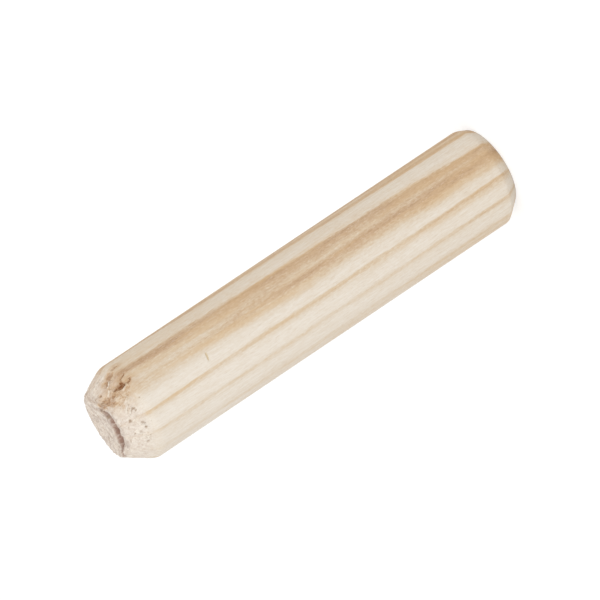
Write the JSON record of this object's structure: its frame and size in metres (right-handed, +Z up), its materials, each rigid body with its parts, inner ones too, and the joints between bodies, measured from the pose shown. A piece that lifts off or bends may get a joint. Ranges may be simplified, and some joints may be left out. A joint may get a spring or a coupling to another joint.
{
  "type": "dowel pin",
  "caption": "Plain round wooden dowel pin with chamfered ends, one end cut askew and torn, that aligns and joins two boards when glued into drilled holes.",
  "frame": {"origin": "middle of the clean foot face, on the pin's axis", "axes": "+Z up the pin's axis, from the clean foot to the torn end; -Y is the side whose lip stands highest"},
  "size_m": [0.008, 0.008, 0.038],
  "materials": {
    "softwood": "bare, planed smooth along the grain, rough on the end grain"
  },
  "bodies": {
    "root": {"dowel_pin": "softwood"}
  },
  "joints": []
}
